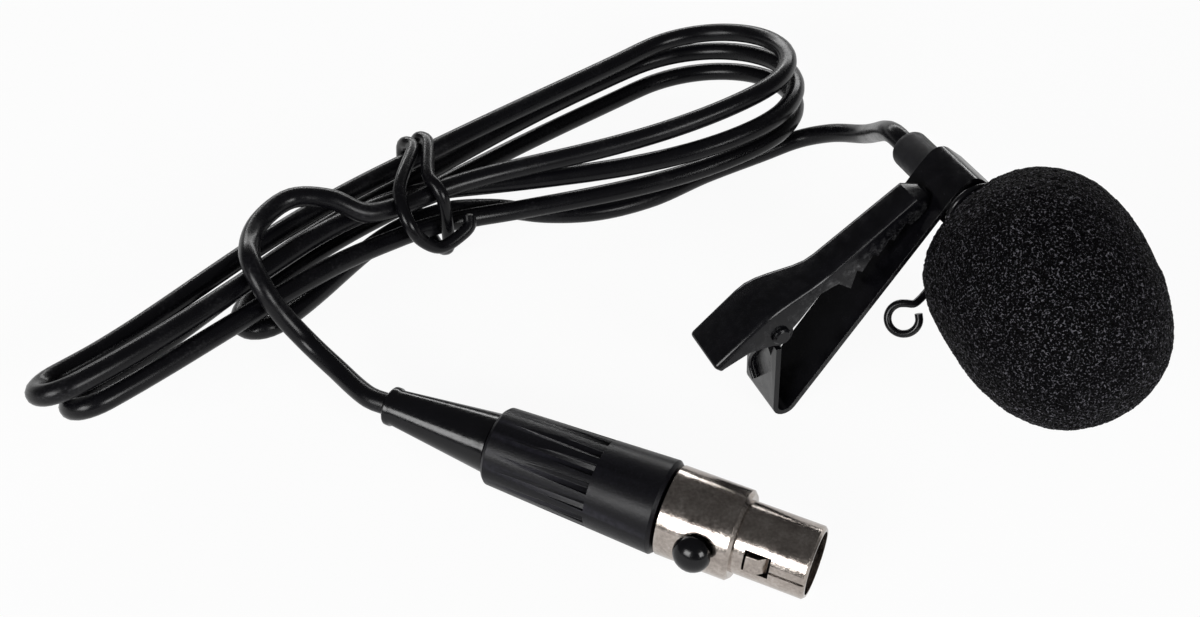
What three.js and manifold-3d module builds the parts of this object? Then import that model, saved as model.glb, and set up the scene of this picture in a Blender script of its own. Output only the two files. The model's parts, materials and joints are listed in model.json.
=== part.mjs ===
// Lavalier microphone: a slim tie microphone with a foam windscreen and a sprung steel
// clip, its folded cord held by a wire tie, and a miniature locking plug on the far end.
// Millimetres, +Z up, lying on a table at z = 0. The origin is the bottom centre of the
// microphone with its clip; the cord and the plug lie to the left of it.
import * as THREE from 'three';
import { mergeVertices } from 'three/addons/utils/BufferGeometryUtils.js';
import Module from 'manifold-3d';

const wasm = await Module();
wasm.setup();

// ---- driving dimensions -------------------------------------------------------------
const gap = 0.3; // running or seating gap between two pieces
const overshoot = 1; // how far a cutter reaches past the face that it opens
const degree = Math.PI / 180;

// cord
const cordDiameter = 2.4;
const leadSides = 8;
const hankSides = 6;

// microphone, along its own x axis; x = 0 is the middle of the clip's strap
const bodyTubeRadius = 2.15;
const bootRear = -9.0;
const bootFront = -1.2;
const bootRounding = 0.9;
const tubeWall = 0.75;
const shoulderStart = 4.8;
const shoulderLength = 1.0;
const headRadius = 3.5;
const headWall = 0.4;
const headEnd = 13.2;
const capsuleRadius = 2.0;
const capsuleLength = 1.5;
const capsuleRim = 0.25;
const boardThickness = 0.6;
const capsuleSetback = 0.7; // from the head's mouth to the capsule's face
const grilleThickness = 0.8;
const grilleHoleRadius = 0.42;
const grilleHoleCircle = 1.9;
const grilleHoles = 6;
const innerWireRadius = 0.25;
const innerWireOffset = 0.75;

// foam windscreen
const foamAcross = 23.4;
const foamAlong = 31.0;
const foamCentre = [14.5, -0.5, -5.5];
const foamTurn = -7.3 * degree; // the foam sits a little askew on the head, seen from above ...
const foamDip = 4.2 * degree; // ... and from the side
const foamRear = 5.1;
const foamBoreDepth = 9.7;

// clip: the lower jaw is one bent strip of sheet, the upper jaw a tapered channel
const sheet = 0.6;
const clipWidth = 6.4;
const strapCorner = 1.4; // middle-line radius of the strap's corners
const strapTail = 0.5; // where the curled end of the strap stops, above the microphone's axis
const plateLength = 29.1;
const plateSlope = 5.4 * degree;
const bendRadius = 1.2; // middle line of the U-bend at the tail
const legAngle = 43 * degree;
const legReach = 10.9; // from the bend to the pivot pin, along the leg
const pinInset = 0.4; // pin's axis behind the leg's outer face
const legShoulder = 2.1; // the full-width leg ends this far short of the pin
const earOuter = 2.05;
const earWall = 0.5;
const earRadius = 1.5;
const earRoot = 4.4;
const earDepth = 1.6;

const pinRadius = 0.6;
const pinClearance = 0.2;
const pinHeadRadius = 1.05;
const pinHeadLength = 0.45;

const tabEnd = 6.7; // thumb tab, behind the pin
const tabTop = 4.35; // above the pin at the tab's end
const tabSlope = -0.155;
const tabHalfWidth = 3.2;
const tabLip = 1.1;
const tabDepth = 2.0;
const humpStart = 0.3; // the S-bend of the top, behind the pin ...
const humpEnd = 7.8; // ... and in front of it
const noseReach = 20.4; // tip of the jaw, in front of the pin
const noseTop = 2.35; // height of the top face over the plate at the tip
const noseSlope = 0.254;
const noseHalfWidth = 1.75;
const neckHalfWidth = 2.0;
const noseRounding = 1.3;
const jawCorner = 0.6;
const jawStations = 25;
const bigToothAt = 7.5; // in front of the pin
const bigToothRoot = 3.1; // under the pin
const bigToothDrop = 2.0;
const teethAt = 9.7;
const teethPitch = 2.3;
const teethCount = 4;
const teethRoot = 4.0; // under the pin at the first small tooth
const teethFall = 0.17; // slope of the row of roots
const toothDrop = 0.75;
const toothLean = 0.15;

// torsion spring round the pin
const springWire = 0.4;
const springRadius = 1.25;
const springTurns = 2;
const springPitch = 0.9;
const springLegLength = 4.2;
const springLegSeat = 0.35;

// wire hook for the cord, clamped round the neck of the microphone
const hookWire = 0.86;
const hookEyeInner = 2.5;
const hookEyeAt = [5.3, -13.5, -1.6];
const hookEyeTwist = 40 * degree;
const hookRingArc = 300 * degree;
const hookEyeStart = -30 * degree;
const hookEyeArc = 300 * degree;

// how the microphone lies on the table
const micHeading = -66.9 * degree;
const micPitch = 3.74 * degree;
const clipLean = 48 * degree;
const micPlace = [37.4, -4.65];

// miniature plug, along its own x axis from the cord to the open nose
const plugHeading = -25.1 * degree;
const plugPlace = [-22.7, -19.6];
const bootLength = 13.0;
const bootTipRadius = 2.0;
const bootTipCollar = 0.9;
const bootCollarRise = 0.15;
const bootBaseRadius = 3.25;
const bootSpigot = 1.9;
const housingRadius = 5.0;
const housingLength = 19.3;
const housingWall = 1.1;
const housingRearWall = 1.3;
const housingChamfer = 0.35;
const fluteCount = 15;
const fluteDepth = 0.5;
const fluteRadius = 0.75;
const fluteStart = 2.4;
const fluteEnd = 12.0;
const shellRadius = 4.7;
const shellLength = 7.8;
const shellChamfer = 0.35;
const noseRadius = 3.75;
const noseLength = 7.6;
const noseWall = 0.5;
const noseLip = 0.25;
const threadLength = 5.0;
const insertBack = -3.6; // behind the barrel's rear edge: -, inside the barrel: +
const insertSetback = 1.3;
const contactCount = 3;
const contactCircle = 1.45;
const contactSpread = 85 * degree;
const contactRadius = 0.5;
const contactBore = 0.3;
const contactTail = 2.6;
const latchAngle = 161.5 * degree; // round the plug from its far side, over the top, to the near side
const latchFlat = 1.35; // the insert's pad under the latch's root, from the axis
const latchRelief = 0.95; // the deeper flat in front of the pad
const latchPad = 2.0;
const latchThickness = 0.35;
const latchWidth = 1.8;
const windowWidth = 2.4;
const windowStart = 1.2; // behind the step between barrel and nose: -, in front: +
const windowLength = 2.7;
const hookRise = 0.35;
const buttonAt = 4.4; // from the barrel's rear edge
const buttonRadius = 1.95;
const buttonHeight = 1.5;
const buttonStem = 1.2;
const buttonTravel = 0.3;
const keywayWidth = 1.0;
const keywayDepth = 0.2;
const chuckLength = 7.5;
const chuckRadius = 3.3;
const chuckBore = 1.4;
const chuckSlot = 0.7;

// folded hank, along its own axis: how far each loop's fold reaches and its half width
const hankPlace = [-67.8, -29.5];
const hankHeading = 40.2 * degree;
const leftFolds = { reach: [15.2, 17.2, 38.8], half: [3.4, 3.1, 3.6], side: -3.9, tilt: -29.5 * degree, lift: 1.85 };
const waist = { along: 59, half: 0.95, side: 3.7, tilt: -1.7 * degree, lift: 2.0 };
const rightFolds = { reach: [102.6, 100.4, 101.1], half: [11.4, 13.7, 12.9], side: -5.4, tilt: -14 * degree, lift: 0.2 };
const hankStepOut = 3.25; // sideways step between neighbouring strands at the waist
const hankLayer = 3.0; // height of one layer of loops
const hankClimb = 14; // a near run changes layer within this reach of the waist
const hankStart = 60.5; // where the loops begin, at the plug's lead ...
const hankEnd = 66; // ... and end, at the microphone's lead

// wire tie round the waist, in the hank's section there: along the hank, outwards and up
const tieAlong = 63.3;
const tieWire = 1.6;
const tieSlack = 0.35; // beside the strands, over the running gap
const tieTail = [ // the tail's curl, from its end up to the near top strand
  [1.1, -7.9, 3.5], [0.6, -8.6, 2.7], [-1.2, -9.0, 2.1], [-3.9, -9.1, 2.0], [-6.0, -8.5, 3.9], [-6.8, -7.4, 6.3],
];
const tieLean = [-5.6, 0.8]; // the first turn crosses the top from here to here, along the hank
const tieSecond = -1.4; // and the second one comes up the near side here
const tieSteps = 84;

// ---- materials ----------------------------------------------------------------------
const paint = (color, roughness, metalness) =>
  new THREE.MeshStandardMaterial({ color, roughness, metalness });
const finish = {
  cord: paint(0x101014, 0.42, 0),
  tie: paint(0x0d0d10, 0.35, 0),
  softRubber: paint(0x141418, 0.6, 0),
  foam: paint(0x0b0b0e, 0.95, 0),
  blackSteel: paint(0x0c0c0e, 0.22, 0.4),
  blackMetal: paint(0x131316, 0.45, 0.3),
  mesh: paint(0x2a2a2c, 0.5, 0.8),
  capsule: paint(0xb9bbbd, 0.35, 1),
  board: paint(0x1d5a35, 0.55, 0),
  wire: paint(0xa02418, 0.5, 0),
  bare: paint(0xb87333, 0.4, 1),
  gloss: paint(0x0a0a0d, 0.18, 0),
  housing: paint(0x1b1b1e, 0.62, 0),
  nickel: paint(0xb8b0a6, 0.25, 1),
  insert: paint(0x101012, 0.5, 0),
  gold: paint(0xc9a44c, 0.3, 1),
  nylon: paint(0xd8d4c8, 0.5, 0),
};

// ---- solids -------------------------------------------------------------------------
// A clean closed geometry: shared vertices merged, no flat triangles, faces outward.
function closed(geometry) {
  const bare = new THREE.BufferGeometry();
  bare.setAttribute('position', geometry.getAttribute('position').clone());
  if (geometry.index) bare.setIndex(geometry.index.clone());
  const merged = mergeVertices(bare, 1e-4);
  const points = merged.getAttribute('position');
  const faces = [];
  const [a, b, c] = [new THREE.Vector3(), new THREE.Vector3(), new THREE.Vector3()];
  let volume = 0;
  for (let i = 0; i < merged.index.count; i += 3) {
    const corner = [0, 1, 2].map((k) => merged.index.getX(i + k));
    if (new Set(corner).size < 3) continue;
    faces.push(...corner);
    [a, b, c].forEach((v, k) => v.fromBufferAttribute(points, corner[k]));
    volume += a.dot(b.cross(c));
  }
  if (volume < 0) faces.reverse();
  merged.setIndex(faces);
  return merged;
}

function toManifold(geometry) {
  const solid = closed(geometry);
  return new wasm.Manifold(
    new wasm.Mesh({
      numProp: 3,
      vertProperties: new Float32Array(solid.getAttribute('position').array),
      triVerts: new Uint32Array(solid.index.array),
    }),
  );
}

function fromManifold(solid) {
  const mesh = solid.getMesh();
  const geometry = new THREE.BufferGeometry();
  geometry.setAttribute('position', new THREE.BufferAttribute(mesh.vertProperties, 3));
  geometry.setIndex(Array.from(mesh.triVerts));
  return geometry;
}

const cut = (body, ...tools) =>
  fromManifold(tools.reduce((left, tool) => left.subtract(toManifold(tool)), toManifold(body)));
const join = (...pieces) =>
  fromManifold(pieces.map(toManifold).reduce((sum, piece) => sum.add(piece)));

// ---- shapes -------------------------------------------------------------------------
const arc = (x, y, radius, from, to, steps) =>
  Array.from({ length: steps + 1 }, (_, i) => {
    const angle = from + ((to - from) * i) / steps;
    return [x + radius * Math.cos(angle), y + radius * Math.sin(angle)];
  });

// A turned piece round the x axis from [x, radius] points. An outline that keeps off the
// axis is closed on itself.
function turned(profile, segments = 32) {
  const points = profile.map(([x, radius]) => new THREE.Vector2(radius, x));
  if (profile.some(([, radius]) => radius === 0) === false) points.push(points[0].clone());
  const lathe = new THREE.LatheGeometry(points, segments);
  return closed(lathe.rotateZ(-Math.PI / 2));
}

const rod = (from, to, radius, segments = 24) =>
  turned([[from, 0], [from, radius], [to, radius], [to, 0]], segments);

// A flat outline in the (y, z) plane, as thick along x as from .. to.
function slab(outline, from, to) {
  const shape = new THREE.Shape(outline.map(([y, z]) => new THREE.Vector2(y, z)));
  const body = new THREE.ExtrudeGeometry(shape, { depth: to - from, bevelEnabled: false });
  const turn = new THREE.Matrix4().makeBasis(
    new THREE.Vector3(0, 1, 0), new THREE.Vector3(0, 0, 1), new THREE.Vector3(1, 0, 0));
  return closed(body.applyMatrix4(turn).translate(from, 0, 0));
}

function box(x, y, z) {
  const size = [x, y, z].map(([low, high]) => high - low);
  const middle = [x, y, z].map(([low, high]) => (high + low) / 2);
  return new THREE.BoxGeometry(...size).translate(...middle);
}

const vector = ([x, y, z]) => new THREE.Vector3(x, y, z);

// A round wire along a smooth curve, for the free leads and bent wires.
function bentWire(points, radius, sides, steps) {
  const section = new THREE.Shape(
    arc(0, 0, radius, 0, 2 * Math.PI, sides).slice(0, sides).map(([x, y]) => new THREE.Vector2(x, y)));
  const path = new THREE.CatmullRomCurve3(points.map(vector), false, 'centripetal');
  return closed(new THREE.ExtrudeGeometry(section, { steps, extrudePath: path, bevelEnabled: false }));
}

// A round tube through the points themselves, ring by ring, for loops and coils. Each ring
// is carried on from the last one without twist.
function loopTube(points, radius, sides) {
  const rings = points.length;
  const tangents = points.map((p, i) =>
    points[Math.min(i + 1, rings - 1)].clone().sub(points[Math.max(i - 1, 0)]).normalize());
  const across = new THREE.Vector3(0, 0, 1);
  if (Math.abs(across.dot(tangents[0])) > 0.9) across.set(1, 0, 0);
  const positions = [];
  points.forEach((point, i) => {
    across.addScaledVector(tangents[i], -across.dot(tangents[i])).normalize();
    const up = tangents[i].clone().cross(across);
    for (let k = 0; k < sides; k += 1) {
      const angle = (2 * Math.PI * k) / sides;
      const spoke = across.clone().multiplyScalar(Math.cos(angle)).addScaledVector(up, Math.sin(angle));
      positions.push(...point.clone().addScaledVector(spoke, radius).toArray());
    }
  });
  const faces = [];
  for (let i = 0; i < rings - 1; i += 1) {
    for (let k = 0; k < sides; k += 1) {
      const [a, b] = [i * sides + k, i * sides + ((k + 1) % sides)];
      faces.push(a, b, a + sides, b, b + sides, a + sides);
    }
  }
  for (let k = 1; k < sides - 1; k += 1) {
    const last = (rings - 1) * sides;
    faces.push(0, k + 1, k, last, last + k, last + k + 1);
  }
  const geometry = new THREE.BufferGeometry();
  geometry.setAttribute('position', new THREE.Float32BufferAttribute(positions, 3));
  geometry.setIndex(faces);
  return closed(geometry);
}

// A sheet-metal strip: a middle line in the (y, z) plane given a thickness.
function strip(line, thickness) {
  const offset = (side) => line.map(([y, z], i) => {
    const [y0, z0] = line[Math.max(i - 1, 0)];
    const [y1, z1] = line[Math.min(i + 1, line.length - 1)];
    const length = Math.hypot(y1 - y0, z1 - z0);
    return [y - (side * (z1 - z0)) / length, z + (side * (y1 - y0)) / length];
  });
  return [...offset(thickness / 2), ...offset(-thickness / 2).reverse()];
}

const mix = (a, b, k) => a + (b - a) * k;
const smooth = (x, from, to) => {
  const k = Math.min(Math.max((x - from) / (to - from), 0), 1);
  return k * k * (3 - 2 * k);
};

function named(name, geometry, material) {
  const mesh = new THREE.Mesh(geometry, material);
  mesh.name = name;
  return mesh;
}

// ---- microphone ---------------------------------------------------------------------
const headBore = headRadius - headWall;
const shoulderEnd = shoulderStart + shoulderLength;
const capsuleFace = headEnd - capsuleSetback;
const capsuleBack = capsuleFace - capsuleLength;
const boardFront = capsuleBack - gap;
const boardBack = boardFront - boardThickness;

function micBoot() {
  return turned([
    [bootRear, 0],
    ...arc(bootRear + bootRounding, bodyTubeRadius - bootRounding, bootRounding, Math.PI, Math.PI / 2, 5),
    [bootFront, bodyTubeRadius],
    [bootFront, 0],
  ]);
}

function micBody() {
  const start = bootFront + gap;
  const bore = bodyTubeRadius - tubeWall;
  return turned([
    [start, bore],
    [start, bodyTubeRadius],
    [shoulderStart, bodyTubeRadius],
    ...arc(shoulderEnd, headRadius - shoulderLength, shoulderLength, Math.PI, Math.PI / 2, 5),
    [headEnd, headRadius],
    [headEnd, headBore],
    [shoulderEnd + headWall, headBore],
    [shoulderEnd + headWall, bore],
  ]);
}

function capsule() {
  return turned([
    [capsuleBack, 0],
    [capsuleBack, capsuleRadius - capsuleRim],
    [capsuleBack + capsuleRim, capsuleRadius],
    [capsuleFace, capsuleRadius],
    [capsuleFace, capsuleRadius - capsuleRim],
    [capsuleFace - capsuleRim, capsuleRadius - capsuleRim],
    [capsuleFace - capsuleRim, 0],
  ], 24);
}

function gasket() {
  const [inner, outer] = [capsuleRadius + gap, headBore - gap];
  return turned([
    [capsuleBack, inner], [capsuleBack, outer], [capsuleFace, outer], [capsuleFace, inner],
  ], 24);
}

const capsuleBoard = () => rod(boardBack, boardFront, headBore - gap, 24);

function innerWire(side) {
  const offset = side * innerWireOffset;
  return bentWire([
    [bootFront + gap, offset, 0],
    [shoulderEnd, offset, 0],
    [boardBack - gap, 1.6 * offset, 0],
  ], innerWireRadius, 6, 6);
}

function grille() {
  const start = headEnd + gap;
  const plate = turned([
    [start, 0],
    [start, headRadius],
    [start + grilleThickness / 2, headRadius],
    [start + grilleThickness, headRadius - grilleThickness / 2],
    [start + grilleThickness, 0],
  ]);
  const hole = () => rod(start - overshoot, start + grilleThickness + overshoot, grilleHoleRadius, 8);
  const ring = Array.from({ length: grilleHoles }, (_, i) =>
    hole().translate(0, grilleHoleCircle, 0).rotateX((2 * Math.PI * i) / grilleHoles));
  return cut(plate, hole(), ...ring);
}

function windscreen() {
  const ball = new THREE.SphereGeometry(0.5, 32, 20).rotateZ(Math.PI / 2);
  ball.scale(foamAlong, foamAcross, foamAcross).rotateY(foamDip).rotateZ(foamTurn);
  ball.translate(...foamCentre);
  const bore = rod(foamRear - overshoot, foamRear + foamBoreDepth, headRadius + gap);
  const reach = foamAcross;
  const rear = box([foamRear - reach, foamRear], [-reach, reach], [-reach - reach, reach]);
  return cut(ball, rear, bore);
}

// ---- clip ---------------------------------------------------------------------------
const strapMiddle = bodyTubeRadius + gap + sheet / 2;
const bendOuter = bendRadius + sheet / 2;
const plateEnd = [-plateLength * Math.cos(plateSlope), strapMiddle - plateLength * Math.sin(plateSlope)];
const bendCentre = [
  plateEnd[0] - bendRadius * Math.sin(plateSlope),
  plateEnd[1] + bendRadius * Math.cos(plateSlope),
];
const legOut = [-Math.sin(legAngle), Math.cos(legAngle)];
const legAlong = [Math.cos(legAngle), Math.sin(legAngle)];
// A point of the leg: along it from the bend, and out from its outer face.
const onLeg = (along, out) => [0, 1].map(
  (k) => bendCentre[k] + (bendOuter + out) * legOut[k] + along * legAlong[k]);
const pin = onLeg(legReach, -pinInset);
const plateTop = (y) => strapMiddle + sheet / 2 + y * Math.tan(plateSlope);

function lowerJawLine() {
  const corner = strapMiddle - strapCorner;
  const quarter = Math.PI / 2;
  const bendFrom = -quarter + plateSlope;
  return [
    [-strapMiddle, strapTail],
    ...arc(-corner, -corner, strapCorner, 2 * quarter, 3 * quarter, 4),
    ...arc(corner, -corner, strapCorner, -quarter, 0, 4),
    ...arc(corner, corner, strapCorner, 0, quarter, 4),
    [0, strapMiddle],
    ...arc(...bendCentre, bendRadius, bendFrom, bendFrom - quarter - legAngle - plateSlope, 8),
    onLeg(legReach - legShoulder, -sheet / 2),
  ];
}

function ear(from, to) {
  const round = arc(...pin, earRadius, legAngle + 110 * degree, legAngle - 110 * degree, 12);
  const outline = [
    ...round,
    onLeg(legReach - earRoot, -earDepth / 2),
    onLeg(legReach - earRoot, -sheet / 4),
  ];
  return slab(outline, from, to);
}

function lowerJaw() {
  const half = clipWidth / 2;
  const bent = slab(strip(lowerJawLine(), sheet), -half, half);
  const ears = [ear(-earOuter, -earOuter + earWall), ear(earOuter - earWall, earOuter)];
  const hole = rod(-half, half, pinRadius + pinClearance, 16).translate(0, ...pin);
  return cut(join(bent, ...ears), hole);
}

// Upper jaw: height of its top face and half its width, along y.
const tabEndY = pin[0] - tabEnd;
const noseTip = pin[0] + noseReach;
function jawTop(y) {
  const tab = pin[1] + tabTop + (y - tabEndY) * tabSlope;
  const nose = plateTop(noseTip) + noseTop + (noseTip - y) * noseSlope;
  const round = Math.max(0, y - (noseTip - noseRounding)) / noseRounding;
  const drop = noseRounding * (1 - Math.sqrt(1 - round * round));
  return mix(tab, nose, smooth(y, pin[0] + humpStart, pin[0] + humpEnd)) - drop;
}

function jawHalfWidth(y) {
  const back = mix(tabHalfWidth, neckHalfWidth, smooth(y, pin[0] + humpStart, pin[0] + humpEnd));
  const front = mix(back, noseHalfWidth, smooth(y, pin[0] + humpEnd, noseTip));
  const round = Math.max(0, y - (noseTip - noseRounding)) / noseRounding;
  return front - 0.45 * noseRounding * (1 - Math.sqrt(1 - round * round));
}

// A loft of round-cornered sections, inset by some depth from the jaw's outer skin.
function jawLoft(from, to, inset, bottom) {
  const corner = Math.max(jawCorner - inset, 0.1);
  const sections = Array.from({ length: jawStations }, (_, i) => {
    const y = mix(from, to, i / (jawStations - 1));
    const half = jawHalfWidth(y) - inset;
    const top = jawTop(y) - inset;
    const right = arc(half - corner, top - corner, corner, 0, Math.PI / 2, 3);
    const left = arc(corner - half, top - corner, corner, Math.PI / 2, Math.PI, 3);
    return [[half, bottom], ...right, ...left, [-half, bottom]].map(([x, z]) => [x, y, z]);
  });
  const count = sections[0].length;
  const faces = [];
  for (let i = 0; i < jawStations - 1; i += 1) {
    for (let k = 0; k < count; k += 1) {
      const [a, b] = [i * count + k, i * count + ((k + 1) % count)];
      faces.push(a, b, a + count, b, b + count, a + count);
    }
  }
  for (let k = 1; k < count - 1; k += 1) {
    const last = (jawStations - 1) * count;
    faces.push(0, k + 1, k, last, last + k, last + k + 1);
  }
  const geometry = new THREE.BufferGeometry();
  geometry.setAttribute('position', new THREE.Float32BufferAttribute(sections.flat(2), 3));
  geometry.setIndex(faces);
  return closed(geometry);
}

// The lower edge of the jaw's walls: thumb tab, ear round the pin, and the row of teeth.
function jawLowerEdge(floor) {
  const ahead = (along, under) => [pin[0] + along, pin[1] - under];
  const teeth = [];
  const addTooth = (along, under, drop) => {
    teeth.push(ahead(along, under), ahead(along + toothLean, under + drop));
  };
  addTooth(bigToothAt, bigToothRoot, bigToothDrop);
  for (let i = 0; i < teethCount; i += 1) {
    const along = teethAt + i * teethPitch;
    addTooth(along, teethRoot + i * teethPitch * teethFall, toothDrop);
  }
  const noseBottom = plateTop(noseTip) + gap;
  return [
    [tabEndY - overshoot, floor],
    [tabEndY - overshoot, jawTop(tabEndY) - tabLip],
    [tabEndY + 0.5, jawTop(tabEndY) - tabLip],
    [pin[0] - 2.2 * earRadius, jawTop(pin[0] - 2.2 * earRadius) - tabDepth],
    ...arc(...pin, earRadius, 190 * degree, 325 * degree, 9),
    ahead(bigToothAt - 1.9, 1.7),
    ...teeth,
    [noseTip - 2 * noseRounding, noseBottom],
    [noseTip + overshoot, noseBottom],
    [noseTip + overshoot, floor],
  ];
}

function upperJaw() {
  const floor = plateTop(tabEndY) - overshoot;
  const skin = jawLoft(tabEndY, noseTip, 0, floor);
  const hollow = jawLoft(tabEndY + sheet, noseTip - sheet, sheet, floor - overshoot);
  const below = slab(jawLowerEdge(floor - 2 * overshoot), -clipWidth, clipWidth);
  const hole = rod(-clipWidth, clipWidth, pinRadius + pinClearance, 16).translate(0, ...pin);
  return cut(skin, hollow, below, hole);
}

function pivotPin() {
  const seat = jawHalfWidth(pin[0] - earRadius) + gap / 2;
  const end = seat + pinHeadLength;
  const crown = pinHeadRadius * 0.75;
  return turned([
    [-end, 0], [-end, crown], [-seat - pinHeadLength / 2, pinHeadRadius], [-seat, pinHeadRadius],
    [-seat, pinRadius], [seat, pinRadius],
    [seat, pinHeadRadius], [seat + pinHeadLength / 2, pinHeadRadius], [end, crown], [end, 0],
  ], 20).translate(0, ...pin);
}

// Torsion spring: a leg on the lower jaw's leg, the coil round the pin, and a leg under the tab.
function springPath() {
  const outAngle = Math.PI / 2 + legAngle;
  const seat = jawTop(tabEndY + 2) - sheet - springLegSeat - springWire / 2;
  const target = [tabEndY + 2 - pin[0], seat - pin[1]];
  const reach = Math.hypot(...target);
  const leave = Math.atan2(target[1], target[0]) + Math.acos(springRadius / reach);
  const sweep = outAngle - leave + 2 * Math.PI * (springTurns + 1);
  const width = (springPitch * sweep) / (2 * Math.PI);
  const steps = Math.round((8 * sweep) / (2 * Math.PI));
  const coil = Array.from({ length: steps + 1 }, (_, i) => {
    const angle = outAngle - (sweep * i) / steps;
    return new THREE.Vector3(
      mix(-width / 2, width / 2, i / steps),
      pin[0] + springRadius * Math.cos(angle),
      pin[1] + springRadius * Math.sin(angle));
  });
  const low = (along, out) => new THREE.Vector3(-width / 2, ...onLeg(legReach - along, out));
  const rest = springLegSeat + springWire / 2;
  const high = (k) => new THREE.Vector3(
    width / 2,
    mix(coil[steps].y, pin[0] + target[0], k),
    mix(coil[steps].z, pin[1] + target[1], k));
  return [low(springLegLength, rest), low(springLegLength / 2, rest + 0.1), ...coil, high(0.5), high(1)];
}

function cableHook() {
  const neck = clipWidth / 2 + gap + hookWire / 2;
  const ringRadius = bodyTubeRadius + gap + hookWire / 2;
  const eyeRadius = (hookEyeInner + hookWire) / 2;
  const ring = arc(0, 0, ringRadius, hookRingArc - Math.PI / 2, -Math.PI / 2, 10)
    .map(([y, z]) => [neck, y, z]);
  const across = [Math.cos(hookEyeTwist), 0, -Math.sin(hookEyeTwist)];
  const onEye = (angle, radius) => hookEyeAt.map(
    (c, k) => c + radius * (Math.cos(angle) * (k === 1 ? 1 : 0) + Math.sin(angle) * across[k]));
  const eye = arc(0, 0, 1, hookEyeStart, hookEyeStart - hookEyeArc, 10)
    .map(([c, s]) => onEye(Math.atan2(s, c), eyeRadius));
  const start = onEye(hookEyeStart, eyeRadius);
  const bend = [start[0] - 0.4, start[1] + 1.5, start[2] - 0.5];
  const shank = [
    [neck, -1.5 * ringRadius, -ringRadius],
    [mix(neck, bend[0], 0.5), mix(-ringRadius, bend[1], 0.6), mix(-ringRadius, bend[2], 0.5)],
    bend,
  ];
  return bentWire([...ring, ...shank, ...eye], hookWire / 2, 8, 60);
}

// ---- plug ---------------------------------------------------------------------------
const housingStart = bootLength + gap;
const housingEnd = housingStart + housingLength;
const shellStart = housingEnd + gap;
const stepAt = shellStart + shellLength;
const noseEnd = stepAt + noseLength;
const shellBore = noseRadius - noseWall;
const insertRadius = shellBore - gap;
const insertStart = shellStart + insertBack;
const insertEnd = noseEnd - insertSetback;
const buttonX = shellStart + buttonAt;
const windowX = stepAt + windowStart;
const latchStart = insertStart + 0.5;
const latchInner = latchFlat + gap;

function plugBoot() {
  const spigot = housingStart + housingRearWall + bootSpigot;
  const neck = bootBaseRadius - 0.35;
  const ring = bootTipRadius + bootCollarRise;
  return turned([
    [0, 0],
    [0, bootTipRadius - 0.35],
    [0.35, ring],
    [bootTipCollar, ring],
    [bootTipCollar + 0.3, bootTipRadius],
    [bootLength - 0.5, bootBaseRadius],
    [bootLength, bootBaseRadius],
    [bootLength, neck],
    [spigot - bootSpigot + gap, neck],
    [spigot - bootSpigot + gap, neck + 0.5],
    [spigot, neck + 0.5],
    [spigot, 0],
  ]);
}

function plugHousing() {
  const bore = housingRadius - housingWall;
  const throat = bootBaseRadius - 0.35 + gap;
  const body = turned([
    [housingStart, throat],
    [housingStart, housingRadius - housingChamfer],
    [housingStart + housingChamfer, housingRadius],
    [housingEnd - housingChamfer, housingRadius],
    [housingEnd, housingRadius - housingChamfer],
    [housingEnd, bore],
    [housingStart + housingRearWall, bore],
    [housingStart + housingRearWall, throat],
  ], 60);
  const [from, to] = [housingStart + fluteStart, housingStart + fluteEnd];
  const fall = Math.atan2(fluteDepth, to - from);
  const flute = () => rod(0, (to - from) / Math.cos(fall), fluteRadius, 8)
    .rotateZ(-fall)
    .translate(from, housingRadius + fluteRadius, 0);
  const flutes = Array.from({ length: fluteCount }, (_, i) =>
    flute().rotateX(latchAngle + (2 * Math.PI * i) / fluteCount));
  return cut(body, ...flutes);
}

function plugShell() {
  const thread = housingRadius - housingWall - gap;
  const body = turned([
    [shellStart - threadLength, shellBore],
    [shellStart - threadLength, thread],
    [shellStart - gap, thread],
    [shellStart, shellRadius - 0.1],
    [shellStart + 0.1, shellRadius],
    [stepAt - shellChamfer, shellRadius],
    [stepAt, shellRadius - shellChamfer],
    [stepAt, noseRadius],
    [noseEnd - noseLip, noseRadius],
    [noseEnd, noseRadius - noseLip],
    [noseEnd, shellBore],
  ], 48);
  const top = shellRadius + overshoot;
  const half = windowWidth / 2;
  const buttonHole = rod(0, top, buttonStem + gap, 20).rotateZ(Math.PI / 2).translate(buttonX, 0, 0);
  const window = box([windowX, windowX + windowLength], [shellBore - noseWall, top], [-half, half]);
  const keyway = box(
    [windowX + windowLength - overshoot, noseEnd + overshoot],
    [noseRadius - keywayDepth, top], [-keywayWidth / 2, keywayWidth / 2]);
  const lift = shellBore * 0.55;
  return cut(body, buttonHole.translate(0, lift, 0), window, keyway);
}

function plugInsert() {
  const body = rod(insertStart, insertEnd, insertRadius, 36);
  const reach = insertRadius + overshoot;
  const pad = box([insertStart - overshoot, insertEnd + overshoot], [latchFlat, reach], [-reach, reach]);
  const relief = box([insertStart + latchPad, insertEnd + overshoot], [latchRelief, reach], [-reach, reach]);
  const holes = contactAngles().map((angle) =>
    rod(insertStart - overshoot, insertEnd + overshoot, contactRadius + gap, 12)
      .translate(0, contactCircle, 0)
      .rotateX(angle));
  return cut(body, pad, relief, ...holes);
}

// The contacts stand round the axis, away from the latch's flat.
const contactAngles = () =>
  Array.from({ length: contactCount }, (_, i) => Math.PI + (i - 1) * contactSpread);

function plugContact(angle) {
  const front = insertEnd - 0.5;
  const deep = front - 4;
  return turned([
    [insertStart - contactTail, 0],
    [insertStart - contactTail, contactRadius],
    [front, contactRadius],
    [front, contactBore],
    [deep, contactBore],
    [deep, 0],
  ], 12).translate(0, contactCircle, 0).rotateX(angle);
}

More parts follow.
